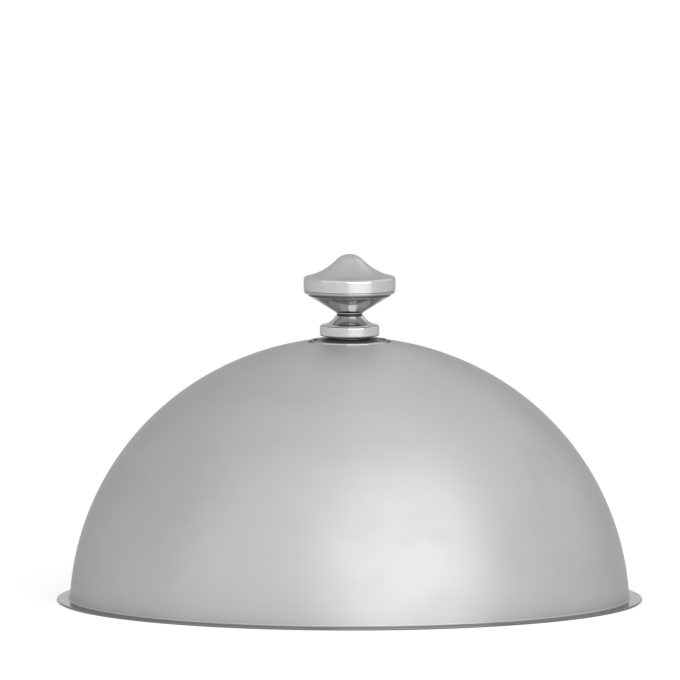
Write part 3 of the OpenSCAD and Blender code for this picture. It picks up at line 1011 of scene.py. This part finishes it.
class FOODCOVER_OT_fixing(bpy.types.Operator):
    """Build the threaded screw and its washers, and finish the bush"""
    bl_idname = "foodcover.fixing"
    bl_label = "Fixing"

    def execute(self, context):
        settings = context.scene.food_cover
        sizes, material = settings.fixing, plain_steel(settings.finish)
        points, thread_start, thread_end = screw_outline(sizes)
        screw = turned("pan_head_screw", points, sizes.sides, material,
                       (sizes.pitch, sizes.thread_depth, thread_start, thread_end))
        self.cut_recess(screw, sizes)
        seat(screw, "cover", "fixing_screw")
        backing = ring_outline("backing_washer", settings.knob.bore, sizes.washer_edge)
        seat(turned("broad_washer", backing, sizes.sides, material), "cover", "backing_washer")
        spring = self.spring_washer(sizes, settings.knob.bore, material)
        seat(spring, "cover", "lock_washer")
        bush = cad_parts["threaded_bush"]
        bush.data.materials.clear()
        bush.data.materials.append(material)
        return {"FINISHED"}

    @staticmethod
    def cut_recess(screw, sizes):
        """Cuts a tapered cross recess into the screw's head."""
        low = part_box("fixing_screw")[0].z
        reach, half = sizes.recess_length / 2, sizes.recess_width / 2
        arm = [(reach, -half), (reach, half), (half, half)]
        cross = []
        for quarter in range(4):
            c, s = round(math.cos(quarter * QUARTER)), round(math.sin(quarter * QUARTER))
            cross += [(x * c - y * s, x * s + y * c) for x, y in arm]
        mouth = 1 + (1 - sizes.recess_taper) * OVERRUN / sizes.recess_depth
        rings = ((low - OVERRUN, mouth), (low + sizes.recess_depth, sizes.recess_taper))
        count = len(cross)
        points = [(x * scale, y * scale, z) for z, scale in rings for x, y in cross]
        faces = [tuple(range(count))[::-1], tuple(range(count, 2 * count))]
        faces += [(i, (i + 1) % count, count + (i + 1) % count, count + i) for i in range(count)]
        mesh = bpy.data.meshes.new("recess")
        mesh.from_pydata(points, [], faces)
        cutter = put("recess", mesh)
        cut = screw.modifiers.new("recess", "BOOLEAN")
        cut.operation = "DIFFERENCE"
        cut.solver = "EXACT"
        cut.object = cutter
        settle(screw)
        bpy.data.objects.remove(cutter)
        bpy.data.meshes.remove(mesh)

    @staticmethod
    def spring_washer(sizes, bore, material):
        """The split lock washer, as a bar wound once round the screw."""
        low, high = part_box("lock_washer")
        mean = (high.x + bore) / 2
        height = high.z - low.z - sizes.split_step
        gap = sizes.split / mean
        return grown("split_washer", bpy.data.meshes.new("split_washer"), spring_ring_tree(),
                     Radius=mean, Width=high.x - bore, Height=height, Step=sizes.split_step,
                     Turns=1 - gap / math.tau, Edge=sizes.washer_edge, Points=sizes.sides,
                     Base=(0.0, 0.0, low.z + height / 2), Bearing=(0.0, 0.0, sizes.split_turn + gap / 2),
                     Material=material)


class FOODCOVER_OT_stage(bpy.types.Operator):
    """Set the camera, the pale floor, the lamps and the white surroundings"""
    bl_idname = "foodcover.stage"
    bl_label = "Stage"

    def execute(self, context):
        stage = context.scene.food_cover.stage
        context.scene.camera = self.camera(stage)
        context.scene.world = self.studio(stage)
        self.lay_floor(stage)
        self.hang_lamps(stage)
        context.scene.view_settings.view_transform = "Standard"
        return {"FINISHED"}

    @staticmethod
    def aimed(name, data, target, bearing, rise, distance):
        """An object that looks at its target from a bearing to the right of the front, and a rise."""
        across = math.cos(rise)
        out = Vector((math.sin(bearing) * across, -math.cos(bearing) * across, math.sin(rise)))
        made = put(name, data)
        made.location = Vector(target) + out * distance
        made.rotation_euler = out.to_track_quat("Z", "Y").to_euler()
        return made

    def camera(self, stage):
        """A long lens in front of the part, at the photograph's angle."""
        data = bpy.data.cameras.new("camera")
        data.lens = data.sensor_width * stage.camera_distance / stage.view_width
        return self.aimed("camera", data, stage.aim, bearing=0.0, rise=stage.camera_elevation,
                          distance=stage.camera_distance)

    @staticmethod
    def shown_as_background(tree):
        """1 for the rays that show the white surroundings: seen, mirrored or through glass."""
        path = add(tree, "ShaderNodeLightPath")
        seen = calc(tree, "MAXIMUM", path.outputs["Is Camera Ray"], path.outputs["Is Glossy Ray"])
        return calc(tree, "MAXIMUM", seen, path.outputs["Is Transmission Ray"])

    def studio(self, stage):
        """A world that is white to look at and in reflections, and a plain even light on the part."""
        world = bpy.data.worlds.new("studio")
        world.use_nodes = True
        tree = world.node_tree
        tree.nodes.clear()
        strength = calc(tree, "MULTIPLY_ADD", self.shown_as_background(tree), 1.0 - stage.ambient,
                        stage.ambient)
        sky = add(tree, "ShaderNodeBackground", {"Color": (1.0, 1.0, 1.0, 1.0), "Strength": strength})
        add(tree, "ShaderNodeOutputWorld", {"Surface": sky.outputs["Background"]})
        return world

    def pale_floor(self, stage):
        """A matt floor that shows white, and is clear from beneath."""
        material = bpy.data.materials.new("pale_floor")
        material.use_nodes = True
        tree = material.node_tree
        tree.nodes.clear()
        matt = add(tree, "ShaderNodeBsdfDiffuse", {"Color": (*stage.floor_colour, 1.0)})
        away = add(tree, "ShaderNodeVectorMath", {"Vector": own_place(tree)}, operation="LENGTH")
        level = ramp(tree, away.outputs["Value"], 0.0, stage.far_reach, low=stage.floor_glow,
                     high=stage.far_glow, shape="LINEAR")
        white = calc(tree, "MULTIPLY", self.shown_as_background(tree), level)
        glow = add(tree, "ShaderNodeEmission", {"Strength": white})
        both = add(tree, "ShaderNodeAddShader", {0: matt.outputs["BSDF"], 1: glow.outputs["Emission"]})
        one_sided = add(tree, "ShaderNodeMixShader", {
            "Fac": add(tree, "ShaderNodeNewGeometry").outputs["Backfacing"],
            1: both.outputs["Shader"],
            2: add(tree, "ShaderNodeBsdfTransparent").outputs["BSDF"],
        })
        add(tree, "ShaderNodeOutputMaterial", {"Surface": one_sided.outputs["Shader"]})
        return material

    def lay_floor(self, stage):
        """A wide disc under the part, which keeps its shadow."""
        disc = bmesh.new()
        bmesh.ops.create_circle(disc, cap_ends=True, segments=FLOOR_SIDES, radius=stage.floor_radius)
        mesh = bpy.data.meshes.new("floor")
        disc.to_mesh(mesh)
        disc.free()
        mesh.materials.append(self.pale_floor(stage))
        floor = put("floor", mesh)
        floor.location.z = -stage.floor_drop

    def hang_lamps(self, stage):
        """A broad soft key to the right of the camera, and weak lamps to its left, above and behind."""
        for name in ("key", "fill", "top", "rim"):
            lamp = getattr(stage, name)
            data = bpy.data.lights.new(name, "AREA")
            data.shape = "RECTANGLE"
            data.size = lamp.width
            data.size_y = lamp.height
            data.energy = lamp.level * math.pi * lamp.width * lamp.height
            self.aimed(name, data, (0.0, 0.0, 0.0), lamp.bearing, lamp.rise, lamp.distance)


class FOODCOVER_PT_panel(bpy.types.Panel):
    """Lists the pieces of the food cover"""
    bl_idname = "FOODCOVER_PT_panel"
    bl_label = "Food Cover"
    bl_space_type = "VIEW_3D"
    bl_region_type = "UI"
    bl_category = "Food Cover"

    def draw(self, context):
        for operator in OPERATORS:
            self.layout.operator(operator.bl_idname)


OPERATORS = (FOODCOVER_OT_dome, FOODCOVER_OT_knob_base, FOODCOVER_OT_knob_head, FOODCOVER_OT_soft_washers,
             FOODCOVER_OT_fixing, FOODCOVER_OT_stage)
CLASSES = (DomeSizes, KnobSizes, FixingSizes, Finishes, KeyLamp, FillLamp, TopLamp, RimLamp,
           StageSettings, FoodCoverSettings, *OPERATORS, FOODCOVER_PT_panel)


def register():
    for cls in CLASSES:
        bpy.utils.register_class(cls)
    bpy.types.Scene.food_cover = PointerProperty(type=FoodCoverSettings)


def unregister():
    del bpy.types.Scene.food_cover
    for cls in reversed(CLASSES):
        bpy.utils.unregister_class(cls)


def main():
    register()
    bpy.ops.foodcover.dome()
    bpy.ops.foodcover.knob_base()
    bpy.ops.foodcover.knob_head()
    bpy.ops.foodcover.soft_washers()
    bpy.ops.foodcover.fixing()
    bpy.ops.foodcover.stage()


if __name__ == "__main__":
    main()
